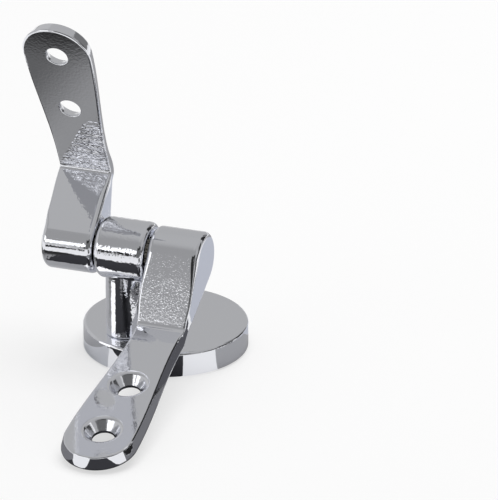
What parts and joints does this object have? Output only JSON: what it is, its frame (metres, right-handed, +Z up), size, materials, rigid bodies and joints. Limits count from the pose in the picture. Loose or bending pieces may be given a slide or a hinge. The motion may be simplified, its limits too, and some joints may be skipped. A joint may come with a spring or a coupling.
{
  "type": "toilet seat hinge",
  "caption": "Cranked hinge for a toilet seat and lid: a seat arm and a lid arm turn on one pin through a pillar that swivels on an eccentric round base.",
  "frame": {"origin": "centre of the base disc's underside, where the fixing bolt enters", "axes": "+Z up along the pillar, +X along the hinge pin towards the lid arm, +Y towards the front of the toilet, where the closed seat lies"},
  "size_m": [0.0596, 0.1152, 0.109],
  "materials": {
    "chrome_disc": "polished chrome plate on a zinc casting",
    "chrome_pillar": "polished chrome plate on a zinc casting",
    "chrome_arms": "polished chrome plate on a zinc casting, left as cast in the inner corners",
    "pin_steel": "yellow-passivated zinc plate",
    "screw_steel": "bright zinc plate"
  },
  "bodies": {
    "base": {"base_disc": "chrome_disc"},
    "pillar": {"pillar": "chrome_pillar", "pillar_screw": "screw_steel", "pillar_washer": "screw_steel"},
    "seat_arm": {"seat_arm": "chrome_arms"},
    "lid_arm": {"lid_arm": "chrome_arms", "hinge_pin": "pin_steel"}
  },
  "joints": [
    {"name": "pillar_swivel", "type": "hinge", "parent": "base", "child": "pillar", "pos_m": [-0.00817, -0.01282, 0.0076], "axis": [0, 0, 1], "continuous": true},
    {"name": "seat_hinge", "type": "hinge", "parent": "pillar", "child": "seat_arm", "pos_m": [-0.00817, -0.01282, 0.0348], "axis": [1, 0, 0], "range_deg": [-116.1, 63.9]},
    {"name": "lid_hinge", "type": "hinge", "parent": "pillar", "child": "lid_arm", "pos_m": [-0.00817, -0.01282, 0.0348], "axis": [1, 0, 0], "range_deg": [-193.65, 0]}
  ]
}
